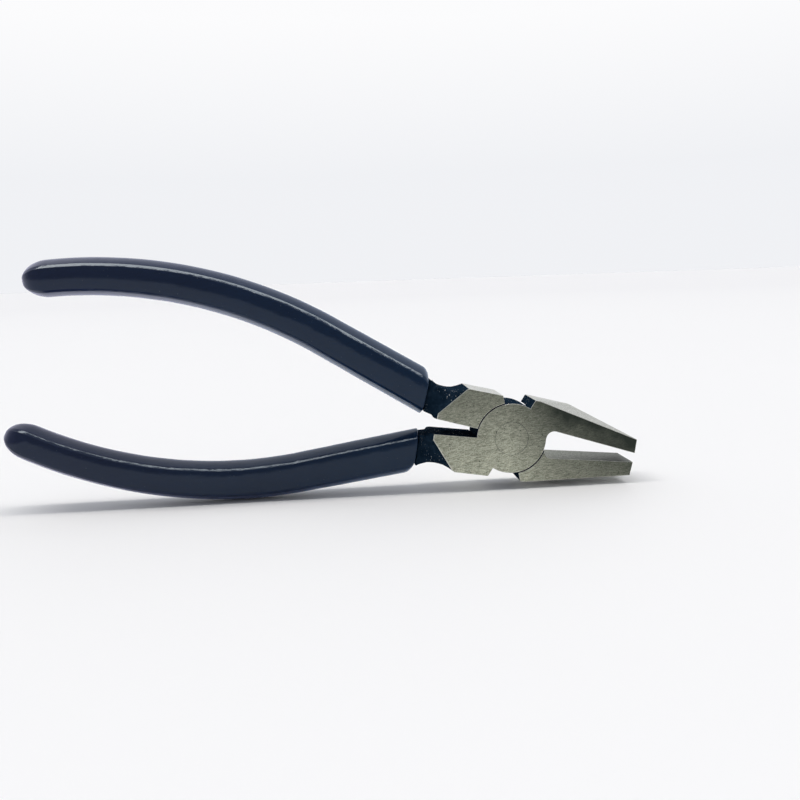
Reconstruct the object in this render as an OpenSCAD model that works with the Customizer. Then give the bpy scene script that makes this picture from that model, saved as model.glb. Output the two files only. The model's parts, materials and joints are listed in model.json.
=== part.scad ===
// Flat-jawed glass breaking pliers with a riveted lap joint and slip-on grips.
// The pliers stand on edge: X runs along them towards the jaws, Y is the pivot axis, Z is up.
// Both levers are one forging. It is drawn once, about the pivot, with the jaws shut:
// the jaw to the right above the X axis, the handle to the left below it.

/* [Lap joint] */
// Diameter of the round half-thickness joint discs
joint_d = 22.8; // [21:0.2:24]
// Thickness of the head between its two ground faces
head_t = 14.8; // [12:0.2:17]
// Clearance between a joint disc and the wall that it turns inside
joint_gap = 0.35; // [0.2:0.05:0.5]
// Clearance between the two lapped disc faces
lap_gap = 0.08; // [0.04:0.02:0.2]
// Angle that each shoulder leans back from the vertical, half of the full opening
stop_angle = 24; // [20:1:28]

/* [Rivet] */
// Diameter of the rivet's shank
shank_d = 9; // [7:0.5:10]
// Diameter of the rivet's countersunk ends, ground flush
rivet_head_d = 11; // [10.5:0.5:13]
// Radial clearance between the rivet and the lever that turns on it
running_fit = 0.04; // [0.02:0.01:0.1]

/* [Jaws] */
// Distance from the pivot to the jaw tips
jaw_reach = 41.7; // [38:0.1:46]
// Depth of a jaw at its tip
tip_h = 4.6; // [4:0.1:6]
// Distance from the pivot to the crown of a jaw's back, along the jaw
crown_x = 18.8; // [16:0.2:22]
// Height of the crown over the centre line
crown_h = 12.8; // [12:0.1:13.1]
// Height of a jaw's shoulder over the centre line
shoulder_h = 13.3; // [13.2:0.1:14]
// Distance past the shoulder where the bevels of a jaw's back begin
bevel_start = 1.7; // [1:0.1:3]
// Half of the gap between the shut jaws at the throat
throat_h = 4; // [3.4:0.1:4.4]
// Radius in the corner of the throat
throat_r = 2.7; // [2:0.1:3]

/* [Handle plates] */
// Distance from the pivot to the far end of a handle's plate
plate_x = 26.4; // [25:0.2:27.5]
// Depth of a plate's outer edge under the centre line
plate_h = 13.2; // [13:0.1:13.6]
// Depth of a plate's inner edge under the centre line, at the joint and at its far end
plate_relief = [1.0, 1.65];
// Distance from the pivot to the ground face's far edge, at its outer and its inner end
ground_x = [17.4, 25.3];
// Lean of the slanted part of that edge from the vertical
ground_lean = 39; // [35:1:42]
// Distance from the pivot to the end of the bare neck
neck_x = 29.7; // [29:0.1:31]
// Depth of the neck's inner and outer edges under the centre line, at its end
neck_h = [2.9, 13.0];
// Thickness of the neck
neck_t = 8.6; // [8:0.2:10]
// Depth, radius and place of the hollow in the neck's outer edge
neck_hollow = [1.9, 10.9, 23.3];
// Radius of the forged run-out from a ground face down to the neck
run_out_r = 11.7; // [9:0.1:15]

/* [Handles] */
// Slope of the handles' straight stretch when the jaws are shut
handle_angle = 18; // [16:0.5:20]
// Radius of the bend in the handles
bend_r = 143; // [120:1:180]
// Distance from the pivot to the handles' widest place
bulge_x = 109.6; // [100:0.2:116]
// Depth of the handles' centre line at the widest place
bulge_h = 27.2; // [24:0.2:28]
// Distance from the pivot to the rounded end of the grips
handle_reach = 159.6; // [150:0.2:172]

/* [Grips] */
// Distance from the pivot to the mouth of the grips
mouth_x = 30.1; // [29.8:0.1:31]
// Width of a grip in the plane of the handles, at its mouth and at its rounded end
grip_w = [14.0, 11.3];
// Thickness of a grip across the handles
grip_t = 12.4; // [11.5:0.1:13.5]
// Wall of a grip
grip_wall = 2.7; // [2.5:0.1:3]
// Clearance between a grip and the tang inside it
grip_gap = 0.03; // [0.02:0.01:0.1]
// Length of the rounded end of a grip
nose = 7.8; // [5:0.2:10]
// Length over which the outer corner of a grip's mouth is rounded
mouth_round = 3.1; // [2:0.1:5]

/* [Pose] */
// Opening of the jaws from shut, as stored, in degrees
rest_opening = 4.1; // [0:0.1:7]

/* [Hidden] */
joint_r = joint_d / 2;
grip_sides = 16;        // sides of a grip's section
grip_squareness = 3.4;  // power of the superellipse that a grip's section follows
grip_rings = 16;        // rings between a grip's mouth and its rounded end
nose_rings = 5;         // rings over the rounded end
mouth_rings = 3;        // rings over the rounded corner at the mouth
mouth_cut = 2.2;        // how far the rounded corner pulls a grip's outer edge in
square_after = 15;      // how far from its mouth a grip's rings are square across it
tang_end = 15;          // how far the tang stops short of the grip's rounded end
tang_lead = 2;          // how far the tang reaches back into the neck
bevel_drop = 0.05;      // how far the bevels' planes pass under the corners of a jaw's back
plate_lap = 1;          // how far a plate's inner edge reaches in past the disc's rim
plate_step = 0.4;       // small step where a plate's inner edge ends
big = 80;               // size of the blocks that cut away what lies past a plane
$fn = 96;

// --- Handle centre line, in the lever's own plane ------------------------------------
// It is straight from the head, then bends back towards the other handle on one arc.
// Places along it are lengths from the start of the bend, negative on the straight.

bend_centre = [-bulge_x, bend_r - bulge_h];
bend_start = bend_centre + bend_r * [sin(handle_angle), -cos(handle_angle)];

function slope(s) = s < 0 ? handle_angle : handle_angle - s / bend_r * 180 / PI;

function centre(s) = s < 0
    ? bend_start - s * [cos(handle_angle), sin(handle_angle)]
    : bend_centre + bend_r * [sin(slope(s)), -cos(slope(s))];

// Length along the arc at which the centre line has come a given distance from the pivot
function arc_to(x) = (handle_angle - asin((bulge_x - x) / bend_r)) * bend_r * PI / 180;

s_mouth = (bend_start[0] + mouth_x) / cos(handle_angle);
s_end = arc_to(handle_reach);
s_nose = s_end - nose;
s_tang = s_nose - tang_end;

// --- Sections across the handle ------------------------------------------------------

function power(v, p) = sign(v) * pow(abs(v), p);

// Half width of a grip in the handles' plane, which tapers evenly from its mouth
function half_w(s) =
    let (along = (s - s_mouth) / (s_end - s_mouth))
    (grip_w[0] + (grip_w[1] - grip_w[0]) * along) / 2;

// A ring turns from upright at the mouth to square across the handle a little further on
function ring_turn(s) = slope(s) * min(1, max(0, (s - s_mouth) / square_after));

// One ring about the centre line: w and t are its half sizes, and cut pulls in its outer half.
// Every ring is [x, y, z] points in the lever's frame.
function ring(s, w, t, cut = 0) =
    let (
        c = centre(s),
        turn = ring_turn(s),
        stretch = 1 / cos(slope(s) - turn)
    )
    [for (i = [0 : grip_sides - 1])
        let (
            a = 360 * i / grip_sides,
            across = t * power(cos(a), 2 / grip_squareness),
            out = w * stretch * power(sin(a), 2 / grip_squareness),
            v = out > 0 ? out * (1 - cut / w) : out
        )
        [c[0] + v * sin(turn), across, c[1] - v * cos(turn)]
    ];

// Rings over a rounded end that closes from full size at s0 to a point at s0 + length
function dome(s0, length) = [
    for (i = [1 : nose_rings - 1])
        let (
            a = 90 * i / nose_rings,
            s = s0 + length * sin(a)
        )
        ring(s, half_w(s) * cos(a), grip_t / 2 * cos(a))
];

// Closed skin over a list of rings, with a point past each end, wound outwards
module skin(rings, first, last) {
    n = grip_sides;
    count = len(rings);
    points = concat([first], [for (r = rings) each r], [last]);
    walls = [
        for (k = [0 : count - 2], i = [0 : n - 1])
            let (
                j = (i + 1) % n,
                near = 1 + k * n,
                far = near + n
            )
            each [
                [near + i, far + j, near + j],
                [near + i, far + i, far + j]
            ]
    ];
    near_end = [for (i = [0 : n - 1]) [0, 1 + i, 1 + (i + 1) % n]];
    last_ring = 1 + (count - 1) * n;
    far_end = [for (i = [0 : n - 1]) [last_ring + n, last_ring + (i + 1) % n, last_ring + i]];
    polyhedron(points, concat(walls, near_end, far_end));
}

function lift(p) = [p[0], 0, p[1]];

// --- The forging ---------------------------------------------------------------------

// Outline in the plane of the lever, drawn as X and Z, given thickness across the pivot axis
module slab(thickness) {
    rotate([90, 0, 0])
        linear_extrude(thickness, center = true)
            children();
}

module round_bar(r, length) {
    rotate([90, 0, 0])
        cylinder(r = r, h = length, center = true);
}

// Everything on the outer side of a plane through a point
module beyond(point, normal) {
    tilt = acos(normal[2] / norm(normal));
    turn = atan2(normal[1], normal[0]);
    translate(point)
        rotate([0, tilt, turn])
            translate([-big / 2, -big / 2, 0])
                cube(big);
}

module jaw_outline() {
    shoulder = [tan(stop_angle), 1];
    throat_x = joint_r + throat_r;
    difference() {
        polygon([
            [0, 0],
            shoulder * shoulder_h,
            [crown_x, crown_h],
            [jaw_reach, tip_h],
            [jaw_reach, 0],
            [throat_x, throat_h],
            [throat_x, 0]
        ]);
        // the rounded throat, which opens just past the disc
        translate([throat_x, throat_h - throat_r])
            circle(throat_r);
        translate([joint_r, -throat_r])
            square([2 * throat_r, throat_h]);
    }
}

module plate_outline() {
    difference() {
        polygon([
            [0, 0],
            [plate_lap - joint_r, -plate_relief[0]],
            [-plate_x, -plate_relief[1]],
            [-plate_x - plate_step, -plate_relief[1] - 2 * plate_step],
            [-neck_x, -neck_h[0]],
            [-neck_x, -neck_h[1]],
            [-neck_hollow[2], -plate_h],
            [-tan(stop_angle) * plate_h, -plate_h]
        ]);
        // the hollow in the neck's outer edge
        translate([-neck_hollow[2], neck_hollow[0] - plate_h - neck_hollow[1]])
            circle(neck_hollow[1]);
    }
}

// The jaw's back falls away to both sides of its crown, down to the flat side faces
module jaw_bevels() {
    shoulder = [tan(stop_angle), 1] * shoulder_h;
    back = [crown_x, crown_h] - shoulder;
    edge = shoulder + back * bevel_start / back[0];
    start = [edge[0], head_t / 2, edge[1] - bevel_drop];
    crown = [crown_x, 0, crown_h - bevel_drop];
    tip = [jaw_reach, head_t / 2, tip_h - bevel_drop];
    outward = cross(crown - start, tip - start);
    for (side = [0, 1])
        mirror([0, side, 0])
            beyond(start, outward);
}

// Where a ground side face runs out into the neck: a hollow ramp, then a flat.
// edge is a point on the ramp's upper edge, and lean turns that edge about the pivot axis.
module run_out(edge, lean) {
    drop = (head_t - neck_t) / 2;
    reach = sqrt(2 * run_out_r * drop - drop * drop);
    for (side = [0, 1])
        mirror([0, side, 0])
            translate([edge[0], neck_t / 2, edge[1]])
                rotate([0, lean, 0])
                    translate([-reach, 0, 0]) {
                        translate([0, run_out_r, 0])
                            cylinder(r = run_out_r, h = big, center = true);
                        translate([-big, 0, -big / 2])
                            cube([big, big, big]);
                    }
}

module tang() {
    s0 = s_mouth - tang_lead;
    rings = [
        for (k = [0 : grip_rings])
            let (
                s = s0 + (s_tang - s0) * k / grip_rings,
                w = half_w(s) - grip_wall,
                t = grip_t / 2 - grip_wall
            )
            ring(s, w, t)
    ];
    skin(rings, lift(centre(s0)), lift(centre(s_tang)));
}

// One lever with its jaws shut. Its disc is the front half of the lap joint.
module lever() {
    difference() {
        union() {
            difference() {
                slab(head_t) {
                    circle(joint_r);
                    jaw_outline();
                    plate_outline();
                }
                jaw_bevels();
                run_out([-ground_x[0], -plate_h], -ground_lean);
                run_out([-ground_x[1], 0], 0);
            }
            tang();
        }
        // room behind the disc for the other lever's disc
        translate([0, head_t / 2 - lap_gap / 2, 0])
            round_bar(joint_r + joint_gap, head_t);
    }
}

module rivet_shape(clearance) {
    r = shank_d / 2 + clearance;
    flare = (rivet_head_d - shank_d) / 2;
    end = head_t / 2;
    rotate([90, 0, 0])
        rotate_extrude()
            polygon([
                [0, -end],
                [r + flare, -end],
                [r, -end + flare],
                [r, end - flare],
                [r + flare, end],
                [0, end]
            ]);
}

module grip() {
    half_t = grip_t / 2;
    mouth = ring(s_mouth, half_w(s_mouth), half_t, mouth_cut);
    rounding = [
        for (i = [1 : mouth_rings])
            let (
                a = 90 * i / mouth_rings,
                s = s_mouth + mouth_round * (1 - cos(a))
            )
            ring(s, half_w(s), half_t, mouth_cut * (1 - sin(a)))
    ];
    s0 = s_mouth + mouth_round;
    body = [
        for (k = [1 : grip_rings])
            let (s = s0 + (s_nose - s0) * k / grip_rings)
            ring(s, half_w(s), half_t)
    ];
    // the hollow is the tang's own shape, a little larger, listed from its closed end outwards
    hollow_end = s_tang + grip_gap;
    inset = grip_wall - grip_gap;
    hollow = [
        for (k = [grip_rings : -1 : 0])
            let (s = s_mouth + (hollow_end - s_mouth) * k / grip_rings)
            ring(s, half_w(s) - inset, half_t - inset)
    ];
    outside = concat([mouth], rounding, body, dome(s_nose, nose));
    skin(concat(hollow, outside), lift(centre(hollow_end)), lift(centre(s_end)));
}

// --- Standing the pliers up ----------------------------------------------------------
// They lean until the lower grip's bulge and the lower jaw's crown both rest on Z = 0.

// A point of the lever's plane after a turn about the pivot axis
function turned(p, a) = [p[0] * cos(a) + p[1] * sin(a), p[1] * cos(a) - p[0] * sin(a)];

half_open = rest_opening / 2;
bend_at_rest = turned(bend_centre, -half_open);
crown_at_rest = turned([crown_x, -crown_h], half_open);

// Lean that rests both the jaw's crown and the grip's outer edge at a place on its bend
function lean_on(s) =
    let (
        span = crown_at_rest - bend_at_rest,
        reach_out = bend_r + half_w(s)
    )
    atan2(span[0], -span[1]) - acos(reach_out / norm(span));

// the grip rests where it runs level, worked out from a first guess halfway round the bend
guess = lean_on(handle_angle / 2 * bend_r * PI / 180);
s_bulge = (handle_angle + half_open - guess) * bend_r * PI / 180;
lean = lean_on(s_bulge);

crown_low = turned(crown_at_rest, lean);
pivot_z = -crown_low[1];

// Points round the lower grip's rounded end, and the upper jaw's tip
nose_edge = [
    for (a = [0 : 10 : 90], side = [-1, 1])
        let (
            s = s_nose + nose * sin(a),
            out = side * half_w(s) * cos(a)
        )
        turned(centre(s) + out * [sin(slope(s)), -cos(slope(s))], lean - half_open)
];
jaw_tip = turned([jaw_reach, tip_h], lean - half_open);
pivot_x = -(min([for (p = nose_edge) p[0]]) + jaw_tip[0]) / 2;

// Children are drawn about the pivot in a lever's own plane
module as_front_lever() {
    translate([pivot_x, 0, pivot_z])
        rotate([0, lean - half_open, 0])
            children();
}

module as_rear_lever() {
    translate([pivot_x, 0, pivot_z])
        rotate([0, lean + half_open, 0])
            rotate([180, 0, 0])
                children();
}

// --- The pieces ----------------------------------------------------------------------

// Lower handle, front half of the joint and upper jaw; the rivet is tight in it
module front_lever() {
    color([0.52, 0.53, 0.48])
        as_front_lever()
            difference() {
                lever();
                rivet_shape(0);
            }
}

// Upper handle, rear half of the joint and lower jaw; it turns on the rivet
module rear_lever() {
    color([0.45, 0.46, 0.42])
        as_rear_lever()
            difference() {
                lever();
                rivet_shape(running_fit);
            }
}

module pivot_rivet() {
    color([0.6, 0.6, 0.56])
        as_front_lever()
            rivet_shape(0);
}

module lower_grip() {
    color([0.1, 0.14, 0.2])
        as_front_lever()
            grip();
}

module upper_grip() {
    color([0.12, 0.16, 0.23])
        as_rear_lever()
            grip();
}

front_lever();
rear_lever();
pivot_rivet();
lower_grip();
upper_grip();
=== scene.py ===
"""Flat-jawed glass breaking pliers: meshes, materials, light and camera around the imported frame.

Lengths are in millimetres in the shapes and turned to metres when a mesh is made. Both levers are
one forging, described about the pivot with the jaws shut: the jaw to the right, the handle to the
left.
"""

import json
import math

import bmesh
import bpy
from mathutils import Matrix, Vector, noise

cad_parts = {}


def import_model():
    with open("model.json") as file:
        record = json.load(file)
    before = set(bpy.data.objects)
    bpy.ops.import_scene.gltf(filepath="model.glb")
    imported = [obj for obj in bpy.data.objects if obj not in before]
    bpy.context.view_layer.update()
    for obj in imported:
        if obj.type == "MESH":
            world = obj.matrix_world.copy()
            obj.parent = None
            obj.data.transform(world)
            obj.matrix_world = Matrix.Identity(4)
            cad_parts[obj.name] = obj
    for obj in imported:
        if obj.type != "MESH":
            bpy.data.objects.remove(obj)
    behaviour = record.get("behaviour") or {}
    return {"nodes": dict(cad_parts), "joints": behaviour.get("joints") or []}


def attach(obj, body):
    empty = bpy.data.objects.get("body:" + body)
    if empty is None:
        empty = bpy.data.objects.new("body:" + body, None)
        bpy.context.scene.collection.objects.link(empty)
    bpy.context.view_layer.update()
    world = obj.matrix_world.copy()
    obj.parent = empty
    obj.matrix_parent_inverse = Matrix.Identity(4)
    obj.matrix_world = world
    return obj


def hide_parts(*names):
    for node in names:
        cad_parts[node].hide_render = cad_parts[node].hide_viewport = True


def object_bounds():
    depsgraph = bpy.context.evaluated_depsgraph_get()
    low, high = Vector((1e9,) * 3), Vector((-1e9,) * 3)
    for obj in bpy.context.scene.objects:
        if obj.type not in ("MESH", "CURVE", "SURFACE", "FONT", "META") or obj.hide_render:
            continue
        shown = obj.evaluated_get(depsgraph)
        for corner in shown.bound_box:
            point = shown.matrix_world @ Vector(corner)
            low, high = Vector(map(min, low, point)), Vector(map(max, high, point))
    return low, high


MM = 0.001

# --- Head: sizes in millimetres and angles in degrees, measured from the pivot -------------

HEAD_T = 14.8
JOINT_R = 11.4
JAW_REACH = 41.7
THROAT_ROUND = 2
SHOULDER_X = 5.4
PLATE_H = 13.2
PLATE_X = 17.6
# the neck's ends, and where the tang that the grip hides begins
NECK_X = (-15.0, -31.5)
TANG_X = -29.0

RIVET_R = 5.5
SHANK_R = 4.5
RIVET_EASE = 0.09
RIVET_SIDES = 96
HOLE_MARGIN = 0.2

BRIGHT_EASE = 0.12
FORGED_EASE = 0.3
SHARP_ANGLE = 22
FLAT_ANGLE = 0.3
WELD = 0.001

# the hammered neck: its largest facet, its unevenness and the length kept smooth at the grip
NECK_FACET = 0.7
NECK_DEPTH = 0.12
NECK_SMOOTH = 3
NECK_PASSES = 6
NECK_SCALE = 0.55
NECK_FRACTAL = (0.8, 2.1, 4)

# --- Handles and grips ---------------------------------------------------------------------

HANDLE_ANGLE = 18
BEND_R = 143
BULGE_X = 109.6
BULGE_H = 27.2
HANDLE_REACH = 159.6

MOUTH_X = 30.1
GRIP_W = (14.0, 11.3)
GRIP_T = 12.4
GRIP_WALL = 2.67
NOSE = 7.8
TANG_END = 15
# the mouth is cut upright; the section has turned square to the handle after this length
SQUARE_AFTER = 15
MOUTH_CUT = 2.2
MOUTH_ROUND = 3.1
LIP = 0.5

# each edge of the section: the share of its half width that the arch takes, the ridge's slope
OUTER_EDGE = (0.32, 1.0)
INNER_EDGE = (0.235, 0.81)
ARCH_POWER = 1.5
ARCH_FALL = 0.6
RIDGE_FLAT = 0.95
RIDGE_EASE = 0.076
SIDE_FULL = 0.32

ARCH_STEPS = 6
SIDE_STEPS = 8
GRIP_RINGS = 190
NOSE_RINGS = 16
LIP_RINGS = 5
HOLLOW_RINGS = 24
HOLLOW_SIDES = 40
HOLLOW_POWER = 3.4

# the vinyl's unevenness: its depth, how far it leans inwards, and its scale on each axis
WOBBLE = 0.045
WOBBLE_INWARDS = 0.5
WOBBLE_SCALE = (0.16, 0.1, 0.16)

# --- How the pliers stand, in degrees ------------------------------------------------------

LEAN = 11.687
REST_OPENING = 4.1

# --- Frame ---------------------------------------------------------------------------------

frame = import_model()
cad_low, cad_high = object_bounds()
PIVOT = Vector(frame["joints"][0]["pos_m"])
FRONT = Matrix.Translation(PIVOT) @ Matrix.Rotation(math.radians(LEAN - REST_OPENING / 2), 4, "Y")
REAR = (
    Matrix.Translation(PIVOT)
    @ Matrix.Rotation(math.radians(LEAN + REST_OPENING / 2), 4, "Y")
    @ Matrix.Rotation(math.pi, 4, "X")
)


# --- Material helpers ----------------------------------------------------------------------


class Nodes:
    """Builds the node tree of one material or world in a few words."""

    def __init__(self, owner, shader="Principled BSDF", coordinates="Object"):
        owner.use_nodes = True
        self.owner = owner
        self.tree = owner.node_tree
        self.shader = self.tree.nodes[shader]
        self.place = self.tree.nodes.new("ShaderNodeTexCoord").outputs[coordinates]

    def add(self, kind, **settings):
        """A new node of a kind, with its settings."""
        node = self.tree.nodes.new(kind)
        for key, value in settings.items():
            setattr(node, key, value)
        return node

    def join(self, source, target):
        """Links an output to an input."""
        self.tree.links.new(source, target)

    def stretched(self, scale, turn=0.0):
        """Object coordinates turned about the Y axis by some degrees, then scaled on each axis."""
        turned = self.add("ShaderNodeMapping")
        turned.inputs["Rotation"].default_value = (0, math.radians(turn), 0)
        self.join(self.place, turned.inputs["Vector"])
        scaled = self.add("ShaderNodeMapping")
        scaled.inputs["Scale"].default_value = scale
        self.join(turned.outputs[0], scaled.inputs["Vector"])
        return scaled.outputs[0]

    def noise(self, scale, detail=3.0, rough=0.55, vector=None, distortion=0.0):
        """Noise from 0 to 1, with its scale in features per metre."""
        node = self.add("ShaderNodeTexNoise")
        node.inputs["Scale"].default_value = scale
        node.inputs["Detail"].default_value = detail
        node.inputs["Roughness"].default_value = rough
        node.inputs["Distortion"].default_value = distortion
        self.join(vector or self.place, node.inputs["Vector"])
        return node.outputs["Fac"]

    def spread(self, value, low, high, to_low=0.0, to_high=1.0):
        """A value's range from low to high, stretched to another range and kept inside it."""
        node = self.add("ShaderNodeMapRange")
        limits = {"From Min": low, "From Max": high, "To Min": to_low, "To Max": to_high}
        for name, number in limits.items():
            node.inputs[name].default_value = number
        self.join(value, node.inputs["Value"])
        return node.outputs["Result"]

    def calc(self, operation, a, b):
        """Sums on a and b; each is a number or an output."""
        node = self.add("ShaderNodeMath", operation=operation)
        for socket, value in zip(node.inputs, (a, b)):
            if isinstance(value, (int, float)):
                socket.default_value = value
            else:
                self.join(value, socket)
        return node.outputs[0]

    def blend(self, factor, a, b):
        """Colours a and b blended by a factor; each is a colour or an output."""
        node = self.add("ShaderNodeMix", data_type="RGBA")
        colour_a, colour_b = [s for s in node.inputs if s.type == "RGBA"]
        for socket, value in ((node.inputs[0], factor), (colour_a, a), (colour_b, b)):
            if isinstance(value, (int, float)):
                socket.default_value = value
            elif isinstance(value, tuple):
                socket.default_value = (*value, 1)
            else:
                self.join(value, socket)
        return [s for s in node.outputs if s.type == "RGBA"][0]

    def axis(self, name):
        """One coordinate of the place, in metres for the object's own coordinates."""
        parts = self.add("ShaderNodeSeparateXYZ")
        self.join(self.place, parts.inputs[0])
        return parts.outputs[name]

    def bump(self, height, distance, strength=1.0, under=None):
        """A bump whose full height is a distance in millimetres."""
        node = self.add("ShaderNodeBump")
        node.inputs["Distance"].default_value = distance * MM
        node.inputs["Strength"].default_value = strength
        self.join(height, node.inputs["Height"])
        if under:
            self.join(under, node.inputs["Normal"])
        return node.outputs["Normal"]

    def finish(self, colour, roughness, normal, **constants):
        """Joins the shader's main inputs, sets its other inputs and returns the material."""
        self.join(colour, self.shader.inputs["Base Color"])
        self.join(roughness, self.shader.inputs["Roughness"])
        self.join(normal, self.shader.inputs["Normal"])
        for name, value in constants.items():
            self.shader.inputs[name.replace("_", " ")].default_value = value
        return self.owner


# --- Materials -----------------------------------------------------------------------------

# where the painted shade on the jaws begins from the pivot, and where it darkens more slowly
JAW_ROOT = -2
JAW_MIDDLE = 15

# the colour of the painted shade on the steel
PAINTED_SHADE = (0.036, 0.043, 0.036)
PIT = (0.03, 0.034, 0.03)
SCALE_DARK = (0.005, 0.0135, 0.026)
SCALE_LIGHT = (0.014, 0.029, 0.05)
SPECK = (0.5, 0.53, 0.54)
VINYL_DARK = (0.001, 0.0105, 0.034)
VINYL_LIGHT = (0.002, 0.014, 0.041)
VINYL_END = (0.01, 0.013, 0.036)
DUST = (0.3, 0.32, 0.36)
SHEEN = (0.3, 0.55, 1.0)
SHEEN_END = (0.6, 0.5, 1.0)


def ground_steel(name, dark, light, roughness, shade_strength=1.0):
    """Steel from a surface grinder: fine streaks along the pliers, mottled, with a few small pits.

    Painted shade makes the jaws darker than the joint, and the top darker than the bottom.
    """
    n = Nodes(bpy.data.materials.new(name))
    streaks = n.noise(3600, detail=4, rough=0.7, vector=n.stretched((0.2, 1, 1), turn=6))
    grain = n.noise(2700, detail=3, rough=0.7)
    cloud = n.noise(150, detail=5, rough=0.62, distortion=0.5)
    tone = n.calc("ADD", n.calc("MULTIPLY", streaks, 0.5), n.calc("MULTIPLY", grain, 0.38))
    tone = n.calc("ADD", tone, n.calc("MULTIPLY", cloud, 0.12))
    colour = n.blend(n.spread(tone, 0.41, 0.59), dark, light)
    # painted shade: darker along the jaws towards their tips, and darker towards the top
    along, upwards = n.axis("X"), n.axis("Z")
    middle = PIVOT.x + JAW_MIDDLE * MM
    root = n.spread(along, PIVOT.x + JAW_ROOT * MM, middle, 0, 0.47 * shade_strength)
    tip = n.spread(along, middle, PIVOT.x + JAW_REACH * MM, 0, 0.34 * shade_strength)
    high = n.spread(upwards, PIVOT.z - PLATE_H * MM, PIVOT.z + PLATE_H * MM, 0, 0.6 * shade_strength)
    shade = n.calc("ADD", n.calc("ADD", root, tip), high)
    shade = n.calc("MULTIPLY", shade, n.spread(cloud, 0.3, 0.7, 0.92, 1.08))
    colour = n.blend(shade, colour, PAINTED_SHADE)
    pits = n.spread(n.noise(1300, detail=1, rough=0.4), 0.74, 0.77)
    colour = n.blend(n.calc("MULTIPLY", pits, 0.7), colour, PIT)
    rough = n.spread(tone, 0.4, 0.6, roughness + 0.08, roughness - 0.08)
    normal = n.bump(streaks, 0.015, 0.5)
    normal = n.bump(pits, -0.03, 0.5, under=normal)
    return n.finish(colour, rough, normal, Metallic=1.0)


def black_oxide(name):
    """Forged steel with its black scale left on: dull, pitted and dusted with bright specks."""
    n = Nodes(bpy.data.materials.new(name))
    scale = n.noise(420, detail=6, rough=0.7, distortion=0.6)
    crust = n.noise(2100, detail=4, rough=0.65)
    colour = n.blend(n.spread(scale, 0.38, 0.68), SCALE_DARK, SCALE_LIGHT)
    specks = n.spread(n.noise(2300, detail=2, rough=0.5), 0.66, 0.7)
    patch = n.spread(n.noise(190, detail=2), 0.46, 0.6)
    specks = n.calc("MULTIPLY", specks, patch)
    colour = n.blend(specks, colour, SPECK)
    n.join(specks, n.shader.inputs["Metallic"])
    rough = n.spread(crust, 0.3, 0.7, 0.35, 0.6)
    normal = n.bump(scale, 0.4, 0.6)
    normal = n.bump(crust, 0.08, 0.6, under=normal)
    return n.finish(colour, rough, normal, Specular_IOR_Level=0.0)


def grip_vinyl(name):
    """Glossy blue-black dipped vinyl, with a faint orange peel and slow swells."""
    n = Nodes(bpy.data.materials.new(name))
    cloud = n.noise(60, detail=3, rough=0.5)
    peel = n.noise(1400, detail=2, rough=0.5)
    swell = n.noise(300, detail=3, rough=0.6)
    colour = n.blend(n.spread(cloud, 0.35, 0.65), VINYL_DARK, VINYL_LIGHT)
    # a little more purple towards the ends of the handles
    end = n.spread(n.axis("X"), PIVOT.x - MOUTH_X * MM, PIVOT.x - HANDLE_REACH * MM, 0, 0.8)
    colour = n.blend(end, colour, VINYL_END)
    dust = n.spread(n.noise(2600, detail=1, rough=0.3), 0.78, 0.8)
    colour = n.blend(n.calc("MULTIPLY", dust, 0.2), colour, DUST)
    n.join(n.blend(end, SHEEN, SHEEN_END), n.shader.inputs["Sheen Tint"])
    rough = n.spread(peel, 0.3, 0.7, 0.06, 0.12)
    normal = n.bump(swell, 0.15, 0.45)
    normal = n.bump(peel, 0.01, 0.2, under=normal)
    return n.finish(
        colour,
        rough,
        normal,
        IOR=1.47,
        Specular_IOR_Level=0.42,
        Specular_Tint=(0.75, 0.88, 1, 1),
        Sheen_Weight=0.5,
        Sheen_Roughness=0.37,
    )


STEEL = ground_steel("ground_steel", (0.262, 0.275, 0.208), (0.74, 0.755, 0.605), 0.44)
# bevel steel for the jaws' backs and the plates' edges: a finer grind, partly painted highlight
BEVEL = ground_steel("bevel_steel", (0.5, 0.51, 0.46), (0.92, 0.92, 0.86), 0.36, shade_strength=0.27)
# edge steel for the eased edges of the ground faces: painted highlight
EDGE = ground_steel("edge_steel", (0.45, 0.46, 0.41), (0.9, 0.9, 0.84), 0.34, shade_strength=0.3)
RIVET = ground_steel("rivet_steel", (0.268, 0.281, 0.214), (0.756, 0.771, 0.618), 0.43)
OXIDE = black_oxide("black_oxide")
VINYL = grip_vinyl("grip_vinyl")


# --- Mesh helpers --------------------------------------------------------------------------


def add_object(name, bm, *materials):
    """Turns a mesh into a named object of the scene."""
    mesh = bpy.data.meshes.new(name)
    bm.to_mesh(mesh)
    bm.free()
    for material in materials:
        mesh.materials.append(material)
    ob = bpy.data.objects.new(name, mesh)
    bpy.context.scene.collection.objects.link(ob)
    return ob


def make_piece(name, bm, materials, body, nodes):
    """Turns a mesh into a piece that rides on a body in place of some CAD nodes."""
    bmesh.ops.recalc_face_normals(bm, faces=bm.faces)
    piece = add_object(name, bm, *materials)
    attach(piece, body)
    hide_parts(*nodes)
    return piece


def smooth(piece, crease):
    """Smooth shading, except across edges sharper than a crease in degrees."""
    piece.data.shade_smooth()
    piece.data.set_sharp_from_angle(angle=math.radians(crease))
    weighted = piece.modifiers.new("weighted", "WEIGHTED_NORMAL")
    weighted.keep_sharp = True
    weighted.weight = 90


# --- Levers --------------------------------------------------------------------------------

STEEL_FACE, BEVEL_FACE, EDGE_FACE, OXIDE_FACE = range(4)


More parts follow.
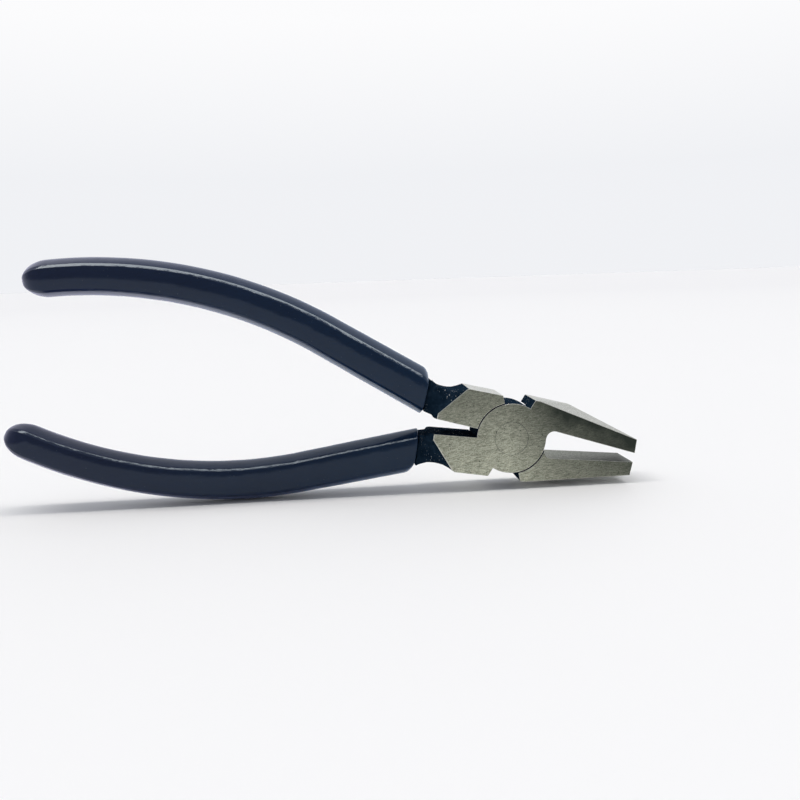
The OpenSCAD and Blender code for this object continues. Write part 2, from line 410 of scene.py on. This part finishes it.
def finish_of(normal, centre):
    """Which finish a face of the forging has, from where it looks and where its centre lies."""
    x, y, z = centre
    # the lighter bevel steel on faces turned up or down is partly a finer grind, partly painted
    # highlight
    jaw_back = x > SHOULDER_X and normal.z > 0.3
    plate_edge = -PLATE_X < x < -SHOULDER_X and normal.z < -0.95 and z < 0.3 - PLATE_H
    if jaw_back or plate_edge:
        return BEVEL_FACE
    side = abs(normal.y) > 0.999 and abs(y) > HEAD_T / 2 - 0.05
    tip = normal.x > 0.95 and x > JAW_REACH - 0.5
    gripping = normal.z < -0.9 and x > JOINT_R + THROAT_ROUND
    return STEEL_FACE if side or tip or gripping else OXIDE_FACE


def near_tang(edge):
    """Whether an edge reaches the tang, which the grip hides."""
    return min(v.co.x for v in edge.verts) < TANG_X


def ease_edges(bm, edges, width):
    """Rounds edges and returns the new faces along them."""
    made = bmesh.ops.bevel(
        bm,
        geom=edges,
        offset=width,
        offset_type="OFFSET",
        segments=2,
        profile=0.5,
        affect="EDGES",
        clamp_overlap=False,
        loop_slide=True,
    )
    return made["faces"]


def roughen_neck(bm):
    """Splits the forged faces of the neck finely and hammers them a little out of true."""

    def neck_faces():
        return [
            f
            for f in bm.faces
            if f.material_index == OXIDE_FACE and NECK_X[1] < f.calc_center_median().x < NECK_X[0]
        ]

    for _ in range(NECK_PASSES):
        bmesh.ops.triangulate(bm, faces=neck_faces())
        edges = {e for f in neck_faces() for e in f.edges if e.calc_length() > NECK_FACET}
        if not edges:
            break
        bmesh.ops.subdivide_edges(bm, edges=list(edges), cuts=1)
    bmesh.ops.triangulate(bm, faces=neck_faces())
    bm.normal_update()
    moves = []
    for v in bm.verts:
        free = all(f.material_index == OXIDE_FACE for f in v.link_faces)
        if free and NECK_X[1] + NECK_SMOOTH < v.co.x < NECK_X[0]:
            rough = noise.fractal(v.co * NECK_SCALE, *NECK_FRACTAL)
            moves.append((v, v.normal * rough * NECK_DEPTH))
    for v, move in moves:
        v.co += move


def sort_edges(bm):
    """The sharp edges outside the grip: those of the bright faces, and those between black ones.

    The rims of the rivet's hole are left out, since the rivet fills them.
    """
    bright, forged = [], []
    for e in bm.edges:
        if not e.is_manifold or e.calc_face_angle() <= math.radians(SHARP_ANGLE) or near_tang(e):
            continue
        if all(math.hypot(v.co.x, v.co.z) < RIVET_R + HOLE_MARGIN for v in e.verts):
            continue
        if all(f.material_index == OXIDE_FACE for f in e.link_faces):
            forged.append(e)
        else:
            bright.append(e)
    return bright, forged


def lever(name, node, body, place):
    """One lever from its CAD node: eased edges, a hammered neck, and bright or black faces."""
    bm = bmesh.new()
    bm.from_mesh(frame["nodes"][node].data)
    bmesh.ops.remove_doubles(bm, verts=bm.verts, dist=WELD * MM)
    to_lever = Matrix.Scale(1 / MM, 4) @ place.inverted()
    bm.transform(to_lever)
    flat = math.radians(FLAT_ANGLE)
    bmesh.ops.dissolve_limit(bm, angle_limit=flat, verts=bm.verts, edges=bm.edges)
    bm.normal_update()
    for f in bm.faces:
        f.material_index = finish_of(f.normal, f.calc_center_median())

    bright, forged = sort_edges(bm)
    # the eased edges take the lighter edge steel: painted highlight
    for f in ease_edges(bm, bright, BRIGHT_EASE):
        f.material_index = EDGE_FACE
    forged = [e for e in forged if e.is_valid]
    for f in ease_edges(bm, forged, FORGED_EASE):
        f.material_index = OXIDE_FACE
    roughen_neck(bm)
    bm.transform(to_lever.inverted())
    piece = make_piece(name, bm, [STEEL, BEVEL, EDGE, OXIDE], body, [node])
    smooth(piece, crease=40)


lever("lever_front", "front_lever", "front_half", FRONT)
lever("lever_rear", "rear_lever", "rear_half", REAR)


# --- Rivet ---------------------------------------------------------------------------------


def rivet():
    """The rivet as a turned profile, its rim eased so that a fine line shows round it."""
    half = HEAD_T / 2
    rim = RIVET_R - RIVET_EASE
    profile = [
        (0, half),
        (RIVET_R / 2, half),
        (rim - RIVET_EASE, half),
        (rim, half - 0.4 * RIVET_EASE),
        (rim, half - 2 * RIVET_EASE),
        (SHANK_R, half - (RIVET_R - SHANK_R)),
    ]
    profile += [(r, -y) for r, y in reversed(profile)]
    angles = [2 * math.pi * i / RIVET_SIDES for i in range(RIVET_SIDES)]
    bm = bmesh.new()
    rings = []
    for r, y in profile:
        if r == 0:
            rings.append([bm.verts.new((0, y, 0))])
        else:
            rings.append([bm.verts.new((r * math.cos(a), y, r * math.sin(a))) for a in angles])
    for a, b in zip(rings, rings[1:]):
        for i in range(RIVET_SIDES):
            j = (i + 1) % RIVET_SIDES
            corners = [a[i % len(a)], a[j % len(a)], b[j % len(b)], b[i % len(b)]]
            bm.faces.new(dict.fromkeys(corners))
    bm.transform(FRONT @ Matrix.Scale(MM, 4))
    piece = make_piece("rivet", bm, [RIVET], "front_half", ["pivot_rivet"])
    smooth(piece, crease=30)


rivet()


# --- Grips ---------------------------------------------------------------------------------
# The handle's centre line is straight from the head, then bends back on one arc. Places along
# it are lengths from the start of the bend, negative on the straight.

ANGLE = math.radians(HANDLE_ANGLE)
BEND_CENTRE = Vector((-BULGE_X, 0, BEND_R - BULGE_H))
BEND_START = BEND_CENTRE + BEND_R * Vector((math.sin(ANGLE), 0, -math.cos(ANGLE)))
S_MOUTH = (BEND_START.x + MOUTH_X) / math.cos(ANGLE)
S_END = (ANGLE - math.asin((BULGE_X - HANDLE_REACH) / BEND_R)) * BEND_R
S_NOSE = S_END - NOSE
S_HOLLOW = S_NOSE - TANG_END


def slope(s):
    """The centre line's slope at s, in radians."""
    return ANGLE if s < 0 else ANGLE - s / BEND_R


def centre(s):
    """The point of the centre line at s."""
    if s < 0:
        return BEND_START - s * Vector((math.cos(ANGLE), 0, math.sin(ANGLE)))
    return BEND_CENTRE + BEND_R * Vector((math.sin(slope(s)), 0, -math.cos(slope(s))))


def half_width(s):
    """Half a grip's width at s, tapering evenly from the mouth to the end."""
    along = (s - S_MOUTH) / (S_END - S_MOUTH)
    return (GRIP_W[0] + (GRIP_W[1] - GRIP_W[0]) * along) / 2


def ring_turn(s):
    """How far the section at s is turned from upright, in radians."""
    return slope(s) * min(1, max(0, (s - S_MOUTH) / SQUARE_AFTER))


def grip_edge(width, thickness, rise, fall):
    """Half of one edge of a grip's section: its arch, then the sloping flat of the ridge.

    The rise is the share of the half width that the arch takes, and the fall is the flat's slope.
    """
    reach = thickness - RIDGE_FLAT
    steps = [k / ARCH_STEPS for k in range(ARCH_STEPS)]
    arch = [Vector((reach * t, width * (1 - rise * t**ARCH_POWER))) for t in steps]
    top = Vector((reach, width * (1 - rise)))
    foot = top + Vector((RIDGE_FLAT, -RIDGE_FLAT * fall))
    ease = RIDGE_EASE * (foot - top)
    return arch + [
        top + Vector((-RIDGE_EASE, ARCH_FALL * RIDGE_EASE)),
        top + ease,
        foot - ease,
        foot - Vector((0, RIDGE_EASE)),
    ]


def grip_section(width, thickness):
    """A grip's section as (across, out) points: arched edges, ridges and slightly full sides."""
    outer = grip_edge(width, thickness - SIDE_FULL, *OUTER_EDGE)
    inner = [Vector((p.x, -p.y)) for p in grip_edge(width, thickness - SIDE_FULL, *INNER_EDGE)]
    side = []
    for k in range(1, SIDE_STEPS):
        p = outer[-1].lerp(inner[-1], k / SIDE_STEPS)
        p.x += SIDE_FULL * (1 - (2 * k / SIDE_STEPS - 1) ** 2)
        side.append(p)
    near = outer + side + inner[::-1]
    far = [Vector((-p.x, p.y)) for p in near[-2:0:-1]]
    return near + far


def grip_ring(s, points, cut=0.0):
    """A section's points set across the handle at s. cut pulls its outer edge in."""
    c = centre(s)
    turn = ring_turn(s)
    stretch = 1 / math.cos(slope(s) - turn)
    ring = []
    for across, out in points:
        v = out * stretch
        if v > 0:
            v *= 1 - cut / half_width(s)
        ring.append(Vector((c.x + v * math.sin(turn), across, c.z - v * math.cos(turn))))
    return ring


def hollow_section(width, thickness):
    """The section of a grip's hollow, a superellipse that fits its tang."""
    points = []
    for i in range(HOLLOW_SIDES):
        a = 2 * math.pi * i / HOLLOW_SIDES
        across = thickness * math.copysign(abs(math.cos(a)) ** (2 / HOLLOW_POWER), math.cos(a))
        out = width * math.copysign(abs(math.sin(a)) ** (2 / HOLLOW_POWER), math.sin(a))
        points.append((across, out))
    return points


def mouth_cut(s):
    """How far the rounded corner at the mouth pulls a grip's outer edge in."""
    along = min(1.0, (s - S_MOUTH) / MOUTH_ROUND)
    return MOUTH_CUT * (1 - math.sqrt(along * (2 - along)))


def grip_rings():
    """The outer rings of a grip from its mouth to the last one before the tip of its nose."""
    half_t = GRIP_T / 2
    rings = []
    for k in range(LIP_RINGS):
        a = math.pi / 2 * k / (LIP_RINGS - 1)
        s = S_MOUTH + LIP * (1 - math.cos(a))
        inset = LIP * (1 - math.sin(a))
        section = grip_section(half_width(s) - inset, half_t - inset)
        rings.append(grip_ring(s, section, mouth_cut(s)))
    start = S_MOUTH + LIP
    for k in range(1, GRIP_RINGS + 1):
        s = start + (S_NOSE - start) * k / GRIP_RINGS
        rings.append(grip_ring(s, grip_section(half_width(s), half_t), mouth_cut(s)))
    for k in range(1, NOSE_RINGS):
        a = math.pi / 2 * k / NOSE_RINGS
        s = S_NOSE + NOSE * math.sin(a)
        shrunk = [p * math.cos(a) for p in grip_section(half_width(s), half_t)]
        rings.append(grip_ring(s, shrunk))
    return rings


def bridge(bm, rings):
    """Quads between neighbouring closed rings of the same length."""
    for a, b in zip(rings, rings[1:]):
        for i in range(len(a)):
            j = (i + 1) % len(a)
            bm.faces.new((a[i], a[j], b[j], b[i]))


def add_outside(bm):
    """Adds a grip's outer skin, closed at the nose, and returns its rings."""
    rings = [[bm.verts.new(p) for p in ring] for ring in grip_rings()]
    bridge(bm, rings)
    tip = bm.verts.new(centre(S_END))
    last = rings[-1]
    for i, v in enumerate(last):
        bm.faces.new((v, last[(i + 1) % len(last)], tip))
    return rings


def add_hollow(bm):
    """Adds the hollow for the tang, closed at its far end, and returns its rings."""
    rings = []
    for k in range(HOLLOW_RINGS + 1):
        s = S_MOUTH + (S_HOLLOW - S_MOUTH) * k / HOLLOW_RINGS
        section = hollow_section(half_width(s) - GRIP_WALL, GRIP_T / 2 - GRIP_WALL)
        rings.append([bm.verts.new(p) for p in grip_ring(s, section)])
    bridge(bm, rings)
    bm.faces.new(rings[-1])
    return rings


def close_mouth(bm, *rims):
    """Joins the rims of the outer skin and of the hollow with the flat face of the mouth."""
    edges = []
    for rim in rims:
        for i, v in enumerate(rim):
            edges.append(bm.edges.get((v, rim[(i + 1) % len(rim)])))
    bmesh.ops.bridge_loops(bm, edges=edges)


def make_uneven(bm, rings):
    """Moves the rings' points a little, mostly inwards, since dipped vinyl is never quite even."""
    bm.normal_update()
    moves = []
    for ring in rings:
        for v in ring:
            wave = noise.noise(Vector([c * scale for c, scale in zip(v.co, WOBBLE_SCALE)]))
            moves.append((v, v.normal * WOBBLE * (wave - WOBBLE_INWARDS)))
    for v, move in moves:
        v.co += move


def grip(name, node, body, place):
    """A slip-on vinyl grip: ridged outside, a rounded mouth, and the hollow for the tang."""
    bm = bmesh.new()
    outside = add_outside(bm)
    hollow = add_hollow(bm)
    close_mouth(bm, outside[0], hollow[0])
    make_uneven(bm, outside[LIP_RINGS + 1 :])
    bm.transform(place @ Matrix.Scale(MM, 4))
    piece = make_piece(name, bm, [VINYL], body, [node])
    smooth(piece, crease=50)


grip("grip_lower", "lower_grip", "front_half", FRONT)
grip("grip_upper", "upper_grip", "rear_half", REAR)


# --- Floor, light and camera ---------------------------------------------------------------

TABLE = (0.878, 0.88, 0.89)
TABLE_LIGHT = (0.892, 0.893, 0.903)
TABLE_FAR = (0.833, 0.833, 0.85)
TABLE_HALF = 30

PALE = (0.872, 0.882, 0.91)
ROOM_FRONT = (0.28, 0.285, 0.3)
CEILING = (0.5, 0.53, 0.6)
STRIP = (9.4, 9.15, 8.7)
HIGH_BACKDROP = (0.97, 0.97, 0.98)


def floor():
    """A wide, pale, slightly satin table top under the pliers, a touch darker in the distance."""
    n = Nodes(bpy.data.materials.new("table"))
    fibre = n.noise(1400, detail=2)
    distance = n.add("ShaderNodeVectorMath", operation="LENGTH")
    n.join(n.place, distance.inputs[0])
    colour = n.blend(n.noise(3, detail=4), TABLE, TABLE_LIGHT)
    far = n.spread(distance.outputs["Value"], 0.3, 3)
    colour = n.blend(far, colour, TABLE_FAR)
    rough = n.spread(fibre, 0.3, 0.7, 0.55, 0.65)
    material = n.finish(colour, rough, n.bump(fibre, 0.02, 0.2), Specular_IOR_Level=0.2)
    bm = bmesh.new()
    bmesh.ops.create_grid(bm, x_segments=8, y_segments=8, size=TABLE_HALF)
    table = add_object("table", bm, material)
    table.location.z = cad_low.z


def world():
    """A plain pale room: a light back wall, a dimmer front and ceiling, a bright strip overhead."""
    n = Nodes(bpy.data.worlds.new("room"), shader="Background", coordinates="Generated")
    ahead, up = n.axis("Y"), n.axis("Z")
    colour = n.blend(n.spread(ahead, -0.3, 0.5), ROOM_FRONT, PALE)
    colour = n.blend(n.spread(up, 0.72, 0.95), colour, CEILING)
    off_strip = n.calc("ABSOLUTE", ahead, 0)
    strip = n.calc("MULTIPLY", n.spread(off_strip, 0.09, 0.055), n.spread(up, 0.72, 0.78))
    colour = n.blend(strip, colour, STRIP)
    # the camera sees the same pale backdrop all round, a little lighter higher up
    backdrop = n.blend(n.spread(up, 0.12, 0.28), PALE, HIGH_BACKDROP)
    seen = n.add("ShaderNodeLightPath").outputs["Is Camera Ray"]
    colour = n.blend(seen, colour, backdrop)
    n.join(colour, n.shader.inputs["Color"])
    bpy.context.scene.world = n.owner


def camera(place, yaw, pitch, roll, lens):
    """A camera turned in degrees: from +Y towards +X by yaw, down by pitch, anticlockwise by roll."""
    yaw, pitch, roll = (math.radians(a) for a in (yaw, pitch, roll))
    level = math.cos(pitch)
    ahead = Vector((math.sin(yaw) * level, math.cos(yaw) * level, -math.sin(pitch)))
    right = Vector((math.cos(yaw), -math.sin(yaw), 0))
    up = right.cross(ahead)
    right, up = (
        right * math.cos(roll) + up * math.sin(roll),
        up * math.cos(roll) - right * math.sin(roll),
    )
    data = bpy.data.cameras.new("camera")
    data.sensor_width = 36
    data.lens = lens
    data.clip_start = 0.01
    ob = bpy.data.objects.new("camera", data)
    turn = Matrix((right, up, -ahead)).transposed()
    ob.matrix_world = Matrix.Translation(place) @ turn.to_4x4()
    bpy.context.scene.collection.objects.link(ob)
    bpy.context.scene.camera = ob


floor()
world()
camera(place=(0.00207, -0.26669, 0.06961), yaw=4.742, pitch=8.39, roll=-1.946, lens=37.17)
bpy.context.scene.view_settings.view_transform = "Standard"
